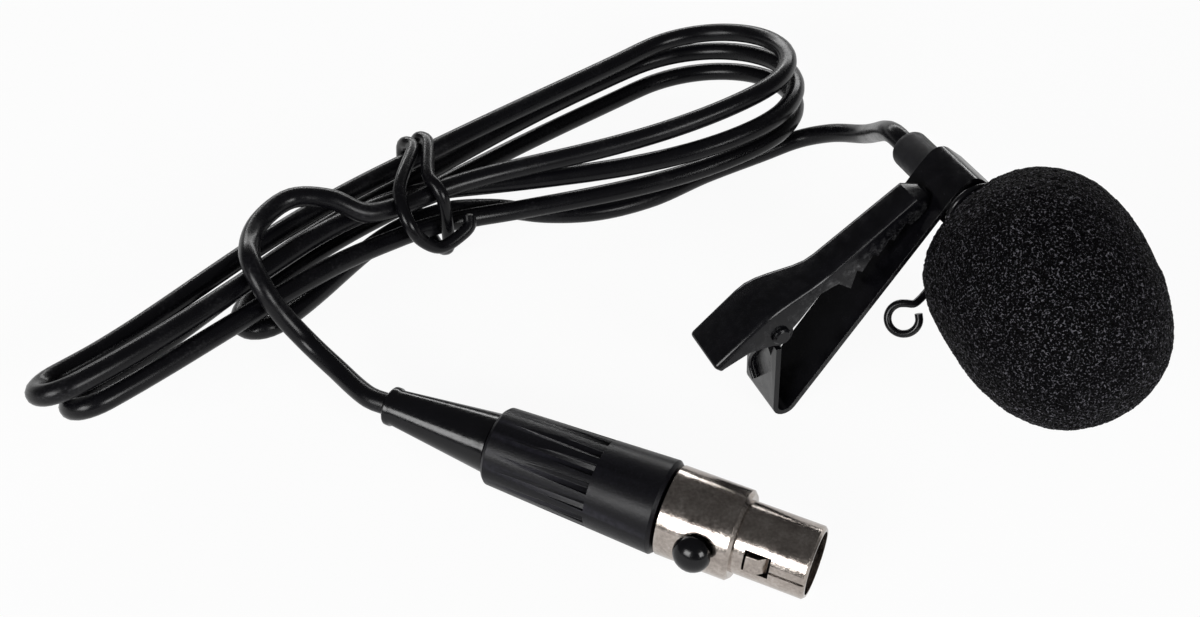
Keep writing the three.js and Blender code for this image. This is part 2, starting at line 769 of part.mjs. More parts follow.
// The latch: a leaf held at its rear, with the hook in the window and the button on top.
function latchLever() {
  const [low, high] = [latchInner, latchInner + latchThickness];
  const half = latchWidth / 2;
  const hookFront = windowX + windowLength - gap;
  const hookBack = windowX + gap;
  const peak = noseRadius + hookRise;
  const leaf = box([latchStart, hookFront], [low, high], [-half, half]);
  const tooth = new THREE.Shape([
    new THREE.Vector2(hookBack, low + 0.05),
    new THREE.Vector2(hookFront, low + 0.05),
    new THREE.Vector2(hookFront, peak - 0.9),
    new THREE.Vector2(hookFront - 0.9, peak),
    new THREE.Vector2(hookBack, peak),
  ]);
  const hook = new THREE.ExtrudeGeometry(tooth, { depth: latchWidth, bevelEnabled: false })
    .translate(0, 0, -half);
  return join(leaf, hook);
}

function latchButton() {
  const foot = latchInner + latchThickness + gap;
  const rim = shellRadius + gap + buttonTravel;
  const dome = arc(rim + 0.3, 0, buttonRadius, Math.PI / 2, 0, 6)
    .map(([x, radius]) => [rim + 0.3 + ((x - rim - 0.3) * buttonHeight) / buttonRadius, radius]);
  const button = turned([
    [foot, 0],
    [foot, buttonStem],
    [rim, buttonStem],
    [rim, buttonRadius - 0.25],
    ...dome.slice(0, -1),
    [rim + 0.3 + buttonHeight, 0],
  ], 24);
  return button.rotateZ(Math.PI / 2).translate(buttonX, 0, 0);
}

function cableChuck() {
  const start = housingStart + housingRearWall + bootSpigot + 2 * gap;
  const end = start + chuckLength;
  const body = turned([
    [start, chuckBore],
    [start, chuckRadius - 0.8],
    [start + 1.5, chuckRadius],
    [end, chuckRadius],
    [end, chuckBore],
  ], 24);
  const slots = [0, 1, 2].map((i) =>
    box([start - overshoot, end - 1.5], [0, chuckRadius + overshoot], [-chuckSlot / 2, chuckSlot / 2])
      .rotateX((2 * Math.PI * i) / 3));
  return cut(body, ...slots);
}

// ---- cord ---------------------------------------------------------------------------
const hankAxis = new THREE.Vector3(Math.cos(hankHeading), Math.sin(hankHeading), 0);
const hankSide = new THREE.Vector3(-Math.sin(hankHeading), Math.cos(hankHeading), 0);

const hankLoops = leftFolds.reach.length;

// A value along the hank, blended from a left fold over the waist to a right fold.
function drawnIn(along, leftAt, left, middle, rightAt, right) {
  return along < waist.along
    ? mix(left, middle, smooth(along, leftAt, waist.along))
    : mix(middle, right, smooth(along, waist.along, rightAt));
}

// A point of the hank: along its axis, out to one side of the middle, and on a layer.
function hankPoint(along, out, layer) {
  const blend = (left, middle, right) =>
    drawnIn(along, leftFolds.reach[0], left, middle, rightFolds.reach[0], right);
  const [side, tilt, lift] = ['side', 'tilt', 'lift'].map(
    (key) => blend(leftFolds[key], waist[key], rightFolds[key]));
  const widest = blend(
    Math.max(...leftFolds.half), waist.half + hankStepOut, Math.max(...rightFolds.half));
  const low = cordDiameter / 2 + widest * Math.sin(Math.abs(tilt)) + lift;
  const across = out * Math.cos(tilt) - layer * hankLayer * Math.sin(tilt) + side;
  const up = low + out * Math.sin(tilt) + layer * hankLayer * Math.cos(tilt);
  return new THREE.Vector3(...hankPlace, up)
    .addScaledVector(hankAxis, along)
    .addScaledVector(hankSide, across);
}

// The loops, one layer each from the top down: a run out on the near side, the right fold, a
// run back on the far side and the left fold. The near runs lie in turn outside and inside
// each other at the waist, where they come down a layer.
function hankPoints() {
  const steps = { out: 8, right: 6, back: 6, left: 4 };
  const points = [];
  const layerOf = (loop) => hankLoops - 1 - loop;
  const run = (side, middle, from, to, left, right, layerAt, count) => {
    const [l, r] = [Math.max(left, 0), Math.min(right, hankLoops - 1)];
    for (let i = points.length ? 1 : 0; i <= count; i += 1) {
      const along = mix(from, to, i / count);
      const out = drawnIn(along, leftFolds.reach[l], leftFolds.half[l], middle,
        rightFolds.reach[r], rightFolds.half[r]);
      points.push(hankPoint(along, side * out, layerAt(along)));
    }
  };
  const fold = (folds, loop, sign, count) => {
    for (let i = 1; i <= count; i += 1) {
      const angle = (Math.PI * i) / count;
      const radius = folds.half[loop];
      points.push(hankPoint(folds.reach[loop] + sign * radius * Math.sin(angle),
        -sign * radius * Math.cos(angle), layerOf(loop)));
    }
  };
  const climb = (along) => smooth(along, waist.along - hankClimb, waist.along + hankClimb);
  for (let loop = 0; loop <= hankLoops; loop += 1) {
    const [first, last] = [loop === 0, loop === hankLoops];
    const from = first ? hankStart : leftFolds.reach[loop - 1];
    const to = last ? hankEnd : rightFolds.reach[loop];
    const middle = waist.half + (loop % 2 ? 0 : hankStepOut);
    const layerAt = (along) =>
      first ? layerOf(0) : last ? 0 : layerOf(loop - 1) - climb(along);
    run(-1, middle, from, to, loop - 1, loop, layerAt, first || last ? 5 : steps.out);
    if (last) break;
    fold(rightFolds, loop, 1, steps.right);
    run(1, waist.half + hankStepOut / 2, rightFolds.reach[loop], leftFolds.reach[loop],
      loop, loop, () => layerOf(loop), steps.back);
    fold(leftFolds, loop, -1, steps.left);
  }
  return points;
}

// The tie: from its curled tail over the top, round the far side and under, and up over the
// top again beside itself, to an end on the far side.
function twistTie() {
  const clear = (cordDiameter + tieWire) / 2 + gap;
  const beside = clear + tieSlack;
  const near = -waist.half - hankStepOut;
  const far = waist.half + hankStepOut / 2;
  const top = (hankLoops - 1) * hankLayer;
  const at = ([ahead, out, up]) => hankPoint(tieAlong + ahead, out, up / hankLayer);
  const corner = (ahead, out, up, from, turn = Math.PI / 2) => [0, 1, 2, 3].map((i) => {
    const angle = from - (turn * i) / 3;
    return [ahead, out + beside * Math.cos(angle), up + clear * Math.sin(angle)];
  });
  const apart = tieWire + gap;
  const route = [
    ...tieTail,
    [tieLean[0], near, top + clear],
    ...corner(tieLean[1], far, top, Math.PI / 2),
    ...corner(tieLean[1] / 2, far, 0, 0),
    ...corner(tieSecond, near, 0, -Math.PI / 2),
    ...corner(tieSecond, near, top, Math.PI),
    ...corner(tieLean[1] + apart, far, top, Math.PI / 2, 2 * Math.PI / 3),
  ];
  const path = new THREE.CatmullRomCurve3(route.map(at), false, 'centripetal');
  return loopTube(path.getSpacedPoints(tieSteps), tieWire / 2, hankSides);
}

// A straight end, one cord diameter long, square to what the cord meets.
function straighten(points) {
  const last = points.length - 1;
  const ahead = points[last].clone().sub(points[last - 1]).normalize();
  const behind = points[0].clone().sub(points[1]).normalize();
  return [
    points[0].clone().addScaledVector(behind, cordDiameter),
    ...points,
    points[last].clone().addScaledVector(ahead, cordDiameter),
  ];
}

// The least gap between stretches of the loops that don't follow each other.
function leastGap(points, diameter, apart) {
  const dense = new THREE.CatmullRomCurve3(points, false, 'centripetal').getSpacedPoints(1600);
  const step = dense[0].distanceTo(dense[1]);
  const skip = Math.ceil(apart / step);
  let least = Infinity;
  for (let i = 0; i < dense.length; i += 1) {
    for (let k = i + skip; k < dense.length; k += 1) {
      least = Math.min(least, dense[i].distanceTo(dense[k]) - diameter);
    }
  }
  return least;
}

// ---- assembly -----------------------------------------------------------------------
function microphoneGroup() {
  const group = new THREE.Group();
  group.add(
    named('mic_strain_relief', micBoot(), finish.softRubber),
    named('mic_body', micBody(), finish.blackMetal),
    named('mic_capsule', capsule(), finish.capsule),
    named('mic_capsule_gasket', gasket(), finish.softRubber),
    named('mic_board', capsuleBoard(), finish.board),
    named('mic_wire_signal', innerWire(1), finish.wire),
    named('mic_wire_ground', innerWire(-1), finish.bare),
    named('mic_grille', grille(), finish.mesh),
    named('windscreen', windscreen(), finish.foam),
    named('clip_lower_jaw', lowerJaw(), finish.blackSteel),
    named('clip_upper_jaw', upperJaw(), finish.blackSteel),
    named('clip_pivot_pin', pivotPin(), finish.blackSteel),
    named('clip_spring', loopTube(springPath(), springWire / 2, 5), finish.blackSteel),
    named('cable_hook', cableHook(), finish.blackSteel),
  );
  group.rotation.set(clipLean, -micPitch, micHeading, 'ZYX');
  group.position.set(...micPlace, 0);
  group.updateMatrixWorld(true);
  group.position.z = -new THREE.Box3().setFromObject(group, true).min.z;
  group.updateMatrixWorld(true);
  return group;
}

function plugGroup() {
  const group = new THREE.Group();
  const turning = new THREE.Group();
  turning.add(
    named('plug_shell', plugShell(), finish.nickel),
    named('plug_insert', plugInsert(), finish.insert),
    ...contactAngles().map((angle, i) => named(`plug_contact_${i + 1}`, plugContact(angle), finish.gold)),
    named('latch_lever', latchLever(), finish.nickel),
    named('latch_button', latchButton(), finish.gloss),
  );
  turning.rotation.x = latchAngle;
  group.add(
    named('plug_boot', plugBoot(), finish.gloss),
    named('plug_housing', plugHousing(), finish.housing),
    named('plug_cable_chuck', cableChuck(), finish.nylon),
    turning,
  );
  group.rotation.z = plugHeading;
  group.position.set(...plugPlace, housingRadius);
  group.updateMatrixWorld(true);
  return group;
}

const microphone = microphoneGroup();
const plug = plugGroup();
const hank = straighten(hankPoints());

// The free leads meet the hank, the microphone and the plug face to face.
function meet(from, towards) {
  const away = towards.clone().sub(from).normalize();
  return [away.clone().multiplyScalar(gap).add(from), away.multiplyScalar(gap + cordDiameter).add(from)];
}
const micRear = (x) => new THREE.Vector3(x, 0, 0).applyMatrix4(microphone.matrixWorld);
const plugRear = (x) => new THREE.Vector3(x, 0, 0).applyMatrix4(plug.matrixWorld);

function micLead() {
  const [last, before] = [hank[hank.length - 1], hank[hank.length - 2]];
  const [a, b] = meet(last, last.clone().multiplyScalar(2).sub(before));
  const [z, y] = meet(micRear(bootRear), micRear(bootRear - 1));
  const route = [[-13.2, 16.5, 1.5], [-6.8, 15.7, 1.3], [-0.5, 16.1, 1.3], [6.5, 18.6, 1.4], [13.8, 23.2, 1.6],
    [21.3, 26.8, 2.2], [26.2, 28.2, 3.4], [29.9, 26.6, 5.6], [33.0, 22.1, 9.0]];
  return bentWire([a.toArray(), b.toArray(), ...route, y.toArray(), z.toArray()], cordDiameter / 2, leadSides, 16);
}

function plugLead() {
  const [a, b] = meet(hank[0], hank[0].clone().multiplyScalar(2).sub(hank[1]));
  const [z, y] = meet(plugRear(0), plugRear(-1));
  const route = [[-27.2, 5.1, 10.7], [-31.2, 5.0, 12.9], [-35.6, 4.8, 13.2], [-38.4, 1.6, 13.0], [-39.1, -2.4, 13.2],
    [-38.1, -6.9, 13.7], [-36.6, -9.1, 11.7], [-34.9, -10.0, 8.8], [-32.4, -11.3, 6.0], [-29.2, -14.1, 4.9]];
  return bentWire([a.toArray(), b.toArray(), ...route, y.toArray(), z.toArray()], cordDiameter / 2, leadSides, 28);
}

const cord = new THREE.Group();
cord.add(
  named('cord_hank', loopTube(hank, cordDiameter / 2, hankSides), finish.cord),
  named('cord_mic_lead', micLead(), finish.cord),
  named('cord_plug_lead', plugLead(), finish.cord),
  named('twist_tie', twistTie(), finish.tie),
);

const group = new THREE.Group();
group.add(microphone, plug, cord);
const footprint = new THREE.Box3().setFromObject(microphone, true).getCenter(new THREE.Vector3());
group.position.set(-footprint.x, -footprint.y, 0);
group.updateMatrixWorld(true);

console.log('least gap of the hank to itself, mm:', leastGap(hank, cordDiameter, 12).toFixed(2));

export default group;
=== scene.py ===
"""The looks of a lavalier microphone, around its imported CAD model. Lengths below are in
millimetres in the frame of the photographed lay, and place() turns them into metres in
the model's own frame. The studio at the end is in metres."""
import json
import math

import bpy
import bmesh
from mathutils import Matrix, Vector, noise


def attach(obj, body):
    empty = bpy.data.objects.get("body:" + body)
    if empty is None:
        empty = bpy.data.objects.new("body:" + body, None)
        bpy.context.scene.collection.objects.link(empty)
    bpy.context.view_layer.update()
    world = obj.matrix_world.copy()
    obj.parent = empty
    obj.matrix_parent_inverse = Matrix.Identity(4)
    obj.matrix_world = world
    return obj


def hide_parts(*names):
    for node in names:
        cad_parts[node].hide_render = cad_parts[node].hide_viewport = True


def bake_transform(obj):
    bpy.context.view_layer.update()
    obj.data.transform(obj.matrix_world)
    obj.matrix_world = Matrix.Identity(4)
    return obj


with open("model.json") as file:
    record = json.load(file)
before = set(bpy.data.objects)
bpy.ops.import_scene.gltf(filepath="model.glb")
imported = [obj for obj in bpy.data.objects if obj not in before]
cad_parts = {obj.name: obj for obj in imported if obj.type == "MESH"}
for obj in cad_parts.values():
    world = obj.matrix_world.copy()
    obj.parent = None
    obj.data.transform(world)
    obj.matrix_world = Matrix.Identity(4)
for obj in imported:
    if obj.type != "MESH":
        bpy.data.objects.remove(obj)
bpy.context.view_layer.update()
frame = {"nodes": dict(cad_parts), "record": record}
nodes = frame["nodes"]
MM = 0.001
ORIGIN = Vector((34.258123, -13.791665, 0.0))  # the model's origin in the photographed lay


def place(point):
    """A point of the photographed lay, in mm, in the model's frame, in metres."""
    return (Vector(point) - ORIGIN) * MM


def link(piece):
    bpy.context.scene.collection.objects.link(piece)
    return piece


# ---- camera ---------------------------------------------------------------------------
CAMERA_AT = (0.0, -121.407, 121.407)
ELEVATION = math.radians(45)
FOCAL_PX, IMAGE_WIDTH_PX = 1436.0, 1200.0
SENSOR = 36.0
NEAREST_SEEN = 0.005  # metres


def make_camera():
    data = bpy.data.cameras.new("camera")
    data.sensor_width = SENSOR
    data.lens = FOCAL_PX / IMAGE_WIDTH_PX * SENSOR
    data.clip_start = NEAREST_SEEN
    camera = link(bpy.data.objects.new("camera", data))
    camera.location = place(CAMERA_AT)
    camera.rotation_euler = (math.pi / 2 - ELEVATION, 0, 0)
    bpy.context.scene.camera = camera


make_camera()

# ---- the cord's route -----------------------------------------------------------------
CORD = 2.4  # diameter
CORD_SPACING = 0.8  # between the points of its route

# The hank runs along an axis from HANK_PLACE. Its loops end in left and right folds, each
# with its reach along the axis and its half width, and the tie draws them in at the waist.
# side, tilt and lift say how the loops lie there, beside the axis and over the table.
HANK_PLACE = Vector((-67.8, -29.5))
HANK_HEADING = math.radians(40.2)
LEFT_FOLDS = dict(reach=(15.2, 17.2, 38.8), half=(3.4, 3.1, 3.6), side=-3.9,
                  tilt=math.radians(-29.5), lift=1.85)
WAIST = dict(along=59.0, half=0.95, side=3.7, tilt=math.radians(-1.7), lift=2.0)
RIGHT_FOLDS = dict(reach=(102.6, 100.4, 101.1), half=(11.4, 13.7, 12.9), side=-5.4,
                   tilt=math.radians(-14), lift=0.2)
HANK_LOOPS = len(LEFT_FOLDS["reach"])
HANK_STEP_OUT = 3.25  # sideways, from one run to the next in the waist
HANK_LAYER = 3.0  # from one layer of loops up to the next
HANK_CLIMB = 14.0  # how far from the waist a run begins to change its layer
HANK_START, HANK_END = 60.5, 66.0  # along the axis, of the first and of the last run
RUN_STEPS, FOLD_STEPS = 22, 14

MIC_POINT = Vector((37.4, -4.65, 22.467))  # on the microphone's axis, in the clip's strap
MIC_AXES = (Vector((0.391502, -0.917863, 0.065229)), Vector((0.596462, 0.307113, 0.741562)),
            Vector((-0.700685, -0.251416, 0.667706)))
STRAP_TO_REAR = 9.0
MIC_REAR = MIC_POINT - STRAP_TO_REAR * MIC_AXES[0]
PLUG_REAR = Vector((-22.7, -19.6, 5.0))
PLUG_HEADING = math.radians(-25.1)
PLUG_AXIS = Vector((math.cos(PLUG_HEADING), math.sin(PLUG_HEADING), 0))

# Both leads, from the hank to the microphone and from the hank to the plug.
MIC_LEAD = [(-13.2, 16.5, 1.5), (-6.8, 15.7, 1.3), (-0.5, 16.1, 1.3), (6.5, 18.6, 1.4),
            (13.8, 23.2, 1.6), (21.3, 26.8, 2.2), (26.2, 28.2, 3.4), (29.9, 26.6, 5.6),
            (33.0, 22.1, 9.0)]
PLUG_LEAD = [(-27.2, 5.1, 10.7), (-31.2, 5.0, 12.9), (-35.6, 4.8, 13.2), (-38.4, 1.6, 13.0),
             (-39.1, -2.4, 13.2), (-38.1, -6.9, 13.7), (-36.6, -9.1, 11.7),
             (-34.9, -10.0, 8.8), (-32.4, -11.3, 6.0), (-29.2, -14.1, 4.9)]


def mix(a, b, k):
    return a + (b - a) * k


def smooth(x, start, end):
    """Eases from 0 at the start to 1 at the end."""
    k = min(max((x - start) / (end - start), 0), 1)
    return k * k * (3 - 2 * k)


def drawn_in(along, left_at, left, middle, right_at, right):
    """A value along the hank, from a left fold over the waist to a right fold."""
    if along < WAIST["along"]:
        return mix(left, middle, smooth(along, left_at, WAIST["along"]))
    return mix(middle, right, smooth(along, WAIST["along"], right_at))


def hank_point(along, out, layer):
    """A point of the hank: along its axis, out to one side, and on a layer of loops."""
    def blend(left, middle, right):
        return drawn_in(along, LEFT_FOLDS["reach"][0], left, middle,
                        RIGHT_FOLDS["reach"][0], right)

    side, tilt, lift = (blend(LEFT_FOLDS[k], WAIST[k], RIGHT_FOLDS[k])
                        for k in ("side", "tilt", "lift"))
    widest = blend(max(LEFT_FOLDS["half"]), WAIST["half"] + HANK_STEP_OUT,
                   max(RIGHT_FOLDS["half"]))
    low = CORD / 2 + widest * math.sin(abs(tilt)) + lift
    across = out * math.cos(tilt) - layer * HANK_LAYER * math.sin(tilt) + side
    up = low + out * math.sin(tilt) + layer * HANK_LAYER * math.cos(tilt)
    axis = Vector((math.cos(HANK_HEADING), math.sin(HANK_HEADING)))
    flat = HANK_PLACE + axis * along + Vector((-axis.y, axis.x)) * across
    return Vector((flat.x, flat.y, up))


def hank_points():
    """The loops from the plug's end to the microphone's end, one layer each, top down."""
    points = []

    def run(side, middle, start, end, left, right, layer_at):
        left, right = max(left, 0), min(right, HANK_LOOPS - 1)
        for i in range(1 if points else 0, RUN_STEPS + 1):
            along = mix(start, end, i / RUN_STEPS)
            out = drawn_in(along, LEFT_FOLDS["reach"][left], LEFT_FOLDS["half"][left], middle,
                           RIGHT_FOLDS["reach"][right], RIGHT_FOLDS["half"][right])
            points.append(hank_point(along, side * out, layer_at(along)))

    def fold(folds, loop, sign):
        for i in range(1, FOLD_STEPS + 1):
            angle, radius = math.pi * i / FOLD_STEPS, folds["half"][loop]
            points.append(hank_point(folds["reach"][loop] + sign * radius * math.sin(angle),
                                     -sign * radius * math.cos(angle), HANK_LOOPS - 1 - loop))

    for loop in range(HANK_LOOPS + 1):
        first, last = loop == 0, loop == HANK_LOOPS
        layer = 0 if last else HANK_LOOPS - 1 - loop

        def coming_down(along):
            if first or last:
                return layer
            climb = smooth(along, WAIST["along"] - HANK_CLIMB, WAIST["along"] + HANK_CLIMB)
            return layer + 1 - climb

        start = HANK_START if first else LEFT_FOLDS["reach"][loop - 1]
        end = HANK_END if last else RIGHT_FOLDS["reach"][loop]
        middle = WAIST["half"] + (0 if loop % 2 else HANK_STEP_OUT)
        run(-1, middle, start, end, loop - 1, loop, coming_down)
        if last:
            break
        fold(RIGHT_FOLDS, loop, 1)
        run(1, WAIST["half"] + HANK_STEP_OUT / 2, RIGHT_FOLDS["reach"][loop],
            LEFT_FOLDS["reach"][loop], loop, loop, lambda along: layer)
        fold(LEFT_FOLDS, loop, -1)
    return points


def curve_through(points, spacing):
    """A smooth curve through the points, sampled about every spacing."""
    points = [Vector(p) for p in points]
    ends = [points[0] * 2 - points[1], *points, points[-1] * 2 - points[-2]]
    shortest = 1e-6  # keeps the knots apart where two points are the same
    out = [points[0]]
    for p0, p1, p2, p3 in zip(ends, ends[1:], ends[2:], ends[3:]):
        t1 = max((p1 - p0).length, shortest) ** 0.5
        t2 = t1 + max((p2 - p1).length, shortest) ** 0.5
        t3 = t2 + max((p3 - p2).length, shortest) ** 0.5
        count = max(1, round((p2 - p1).length / spacing))
        for i in range(1, count + 1):
            t = mix(t1, t2, i / count)
            a1 = p0 * ((t1 - t) / t1) + p1 * (t / t1)
            a2 = p1 * ((t2 - t) / (t2 - t1)) + p2 * ((t - t1) / (t2 - t1))
            a3 = p2 * ((t3 - t) / (t3 - t2)) + p3 * ((t - t2) / (t3 - t2))
            b1 = a1 * ((t2 - t) / t2) + a2 * (t / t2)
            b2 = a2 * ((t3 - t) / (t3 - t1)) + a3 * ((t - t1) / (t3 - t1))
            out.append(b1 * ((t2 - t) / (t2 - t1)) + b2 * ((t - t1) / (t2 - t1)))
    return out


def cord_route():
    """From the microphone's rear to the plug's, a cord's width straight out of each."""
    to_mic = [MIC_REAR, MIC_REAR - MIC_AXES[0] * CORD, *reversed(MIC_LEAD)]
    to_plug = [*PLUG_LEAD, PLUG_REAR - PLUG_AXIS * CORD, PLUG_REAR]
    return curve_through([*to_mic, *reversed(hank_points()), *to_plug], CORD_SPACING)


# ---- materials ------------------------------------------------------------------------
def set_stops(node, stops):
    """Colours at places along a colour ramp, each (place, (r, g, b))."""
    marks = node.color_ramp.elements
    while len(marks) < len(stops):
        marks.new(0.5)
    for mark, (at, colour) in zip(marks, stops):
        mark.position = at
        mark.color = (*colour, 1)


class Surface:
    """A node material on the object's own coordinates. Sizes are given in millimetres."""

    def __init__(self, name, turn=0.0, stretch=(1, 1, 1)):
        self.material = bpy.data.materials.new(name)
        self.material.use_nodes = True
        self.tree = self.material.node_tree
        self.shader = self.tree.nodes["Principled BSDF"]
        place_node = self.add("ShaderNodeTexCoord")
        mapping = self.add("ShaderNodeMapping")
        mapping.inputs["Rotation"].default_value = (0, 0, turn)
        mapping.inputs["Scale"].default_value = stretch
        self.join(place_node.outputs["Object"], mapping.inputs["Vector"])
        self.where = mapping.outputs["Vector"]

    def add(self, kind, **settings):
        node = self.tree.nodes.new(kind)
        for key, value in settings.items():
            setattr(node, key, value)
        return node

    def join(self, source, target):
        self.tree.links.new(source, target)

    def set(self, **values):
        """Constants on the shader, by its inputs' names with _ for each space."""
        for key, value in values.items():
            self.shader.inputs[key.replace("_", " ")].default_value = value
        return self

    def grain(self, size, detail=3.0, rough=0.55):
        """Noise whose features are about this size."""
        node = self.add("ShaderNodeTexNoise")
        node.inputs["Scale"].default_value = 1 / (size * MM)
        node.inputs["Detail"].default_value = detail
        node.inputs["Roughness"].default_value = rough
        self.join(self.where, node.inputs["Vector"])
        return node.outputs["Fac"]

    def cells(self, size):
        """The distance from the middle of the nearest cell, in cells of this size."""
        node = self.add("ShaderNodeTexVoronoi")
        node.inputs["Scale"].default_value = 1 / (size * MM)
        self.join(self.where, node.inputs["Vector"])
        return node.outputs["Distance"]

    def spread(self, value, low, high, start=0.3, end=0.7):
        """The value carried over from start .. end to low .. high."""
        node = self.add("ShaderNodeMapRange")
        self.join(value, node.inputs["Value"])
        for key, number in zip(("From Min", "From Max", "To Min", "To Max"),
                               (start, end, low, high)):
            node.inputs[key].default_value = number
        return node.outputs["Result"]

    def mask(self, value, start, end):
        """0 where the value is below the start, 1 where it is above the end."""
        return self.spread(value, 0.0, 1.0, start, end)

    def edges(self, start, end):
        """1 on worn outer edges, 0 elsewhere."""
        geometry = self.add("ShaderNodeNewGeometry")
        return self.mask(geometry.outputs["Pointiness"], start, end)

    def ramp(self, value, *stops):
        """The value as a colour, between stops that are each (place, (r, g, b))."""
        node = self.add("ShaderNodeValToRGB")
        self.join(value, node.inputs["Fac"])
        set_stops(node, stops)
        return node.outputs["Color"]

    def blended(self, a, b, factor, way="MIX"):
        """Colour b over colour a."""
        node = self.add("ShaderNodeMix", data_type="RGBA", blend_type=way)
        if isinstance(factor, float):
            node.inputs["Factor"].default_value = factor
        else:
            self.join(factor, node.inputs["Factor"])
        self.join(a, node.inputs["A"])
        self.join(b, node.inputs["B"])
        return node.outputs["Result"]

    def both(self, a, b):
        """One mask times the other."""
        return self.blended(a, b, 1.0, "MULTIPLY")

    def colour(self, value):
        self.join(value, self.shader.inputs["Base Color"])

    def roughness(self, value):
        self.join(value, self.shader.inputs["Roughness"])

    def bump(self, *heights):
        """Reliefs, each (height, its depth in mm), one on the other."""
        last = None
        for height, depth in heights:
            node = self.add("ShaderNodeBump")
            node.inputs["Distance"].default_value = depth * MM
            self.join(height, node.inputs["Height"])
            if last:
                self.join(last, node.inputs["Normal"])
            last = node.outputs["Normal"]
        self.join(last, self.shader.inputs["Normal"])
        return self


def black(level, tint=1.3):
    """A black of this level, its blue stronger by the tint."""
    return (level, level * 0.97, level * tint)


def cord_jacket(name, level, shine, depth):
    """Extruded black plastic: long soft gloss, scuffs and dust."""
    s = Surface(name).set(Specular_IOR_Level=0.23)
    blotch, dust = s.grain(5.0, detail=4.0), s.grain(0.3, detail=6.0, rough=0.7)
    scuffs = s.both(s.mask(blotch, 0.52, 0.66), s.mask(dust, 0.5, 0.68))
    plain = s.ramp(s.grain(1.4, detail=6.0, rough=0.7), (0.35, black(level * 0.75)),
                   (0.65, black(level)), (0.8, black(level * 1.7)))
    dusty = s.ramp(dust, (0.3, black(level * 2)), (0.7, black(level * 7, 1.1)))
    s.colour(s.blended(plain, dusty, scuffs))
    s.roughness(s.spread(s.blended(s.blended(blotch, dust, 0.4), scuffs, 0.25),
                         shine - 0.06, shine + 0.16))
    return s.bump((s.grain(0.35, detail=4.0, rough=0.6), depth), (blotch, depth * 3)).material


def foam_material():
    """Open-cell foam: black ribs, painted shade darkening them towards each pore's middle, and
    painted glints, bright spots here and there on the ribs.
    """
    s = Surface("foam").set(Specular_IOR_Level=0.04)
    pores, fine = s.cells(0.46), s.cells(0.24)
    # Painted glints: a mask of bright spots on the ribs, where light would catch the cell
    # walls.
    painted_glints = s.mask(s.blended(s.grain(0.13, detail=1.5, rough=0.5), fine, 0.35), 0.57, 0.66)
    # The ribs' colour darkens towards each pore's middle: painted shade in the pores.
    ribs = s.ramp(s.blended(pores, fine, 0.45), (0.1, black(0.0003)), (0.45, black(0.0008)),
                  (0.85, black(0.002)))
    # The colour of the painted glints.
    bright = s.ramp(s.grain(0.5, detail=2.0), (0.3, black(0.035, 1.1)), (0.7, black(0.15, 1.1)))
    s.colour(s.blended(ribs, bright, painted_glints))
    s.roughness(s.spread(s.grain(0.4), 0.45, 0.8))
    return s.bump((fine, 0.1), (pores, 0.2), (s.grain(0.14, detail=2.0), 0.05)).material


def enamel():
    """Glossy black enamel over spring steel, worn to grey in places along its edges."""
    s = Surface("black_steel").set(Specular_IOR_Level=0.27)
    wear = s.both(s.edges(0.53, 0.68), s.mask(s.grain(0.8, detail=6.0, rough=0.7), 0.45, 0.68))
    paint = s.ramp(s.grain(2.2, detail=5.0), (0.3, black(0.0022)), (0.7, black(0.0042)))
    metal = s.ramp(s.grain(0.5), (0.3, (0.02, 0.02, 0.021)), (0.7, (0.075, 0.075, 0.078)))
    s.colour(s.blended(paint, metal, wear))
    s.roughness(s.spread(s.grain(1.1, detail=5.0, rough=0.6), 0.14, 0.28))
    return s.bump((s.grain(0.45, detail=2.0), 0.0025),
                  (s.grain(3.0, detail=2.0), 0.02)).material


def satin_metal():
    """Dark oxidised metal with an even, satin skin."""
    s = Surface("black_metal").set(Specular_IOR_Level=0.4)
    s.colour(s.ramp(s.grain(0.6, detail=5.0), (0.3, black(0.004)), (0.7, black(0.009))))
    s.roughness(s.spread(s.grain(0.3, detail=4.0), 0.32, 0.5))
    return s.bump((s.grain(0.15, detail=2.0), 0.003)).material


def soft_rubber():
    """Dull black rubber with a little bloom."""
    s = Surface("soft_rubber").set(Specular_IOR_Level=0.27)
    s.colour(s.ramp(s.grain(0.9, detail=6.0, rough=0.65), (0.3, black(0.0035)),
                    (0.6, black(0.006)), (0.8, black(0.013))))
    s.roughness(s.spread(s.grain(0.7, detail=5.0), 0.4, 0.62))
    return s.bump((s.grain(0.16), 0.006), (s.grain(1.5, detail=2.0), 0.01)).material


def moulded_gloss():
    """Polished black moulding: clear gloss, slight sink marks, fine hairlines."""
    s = Surface("gloss", turn=-PLUG_HEADING, stretch=(0.25, 1, 1)).set(Specular_IOR_Level=0.32)
    hairs = s.grain(0.3, detail=6.0, rough=0.7)
    s.colour(s.ramp(s.grain(1.5, detail=6.0, rough=0.7), (0.3, black(0.0022)),
                    (0.66, black(0.0036)), (0.82, black(0.009))))
    s.roughness(s.spread(hairs, 0.1, 0.27))
    return s.bump((s.grain(2.2, detail=2.0), 0.02), (hairs, 0.0016)).material


def housing_material():
    """Spark-eroded matte black, a little polished by fingers on its edges and ribs."""
    s = Surface("housing").set(Specular_IOR_Level=0.17)
    wear = s.edges(0.52, 0.62)
    base = s.ramp(s.grain(0.22, detail=4.0, rough=0.7), (0.3, black(0.0022)),
                  (0.55, black(0.004)), (0.8, black(0.012)))
    polished = s.ramp(s.grain(0.5), (0.3, black(0.008)), (0.7, black(0.018)))
    s.colour(s.blended(base, polished, wear))
    s.roughness(s.spread(s.blended(s.grain(0.2, detail=4.0), s.grain(3.0), 0.5), 0.27, 0.42))
    return s.bump((s.grain(0.18, rough=0.6), 0.012), (s.grain(0.6, detail=2.0), 0.012)).material


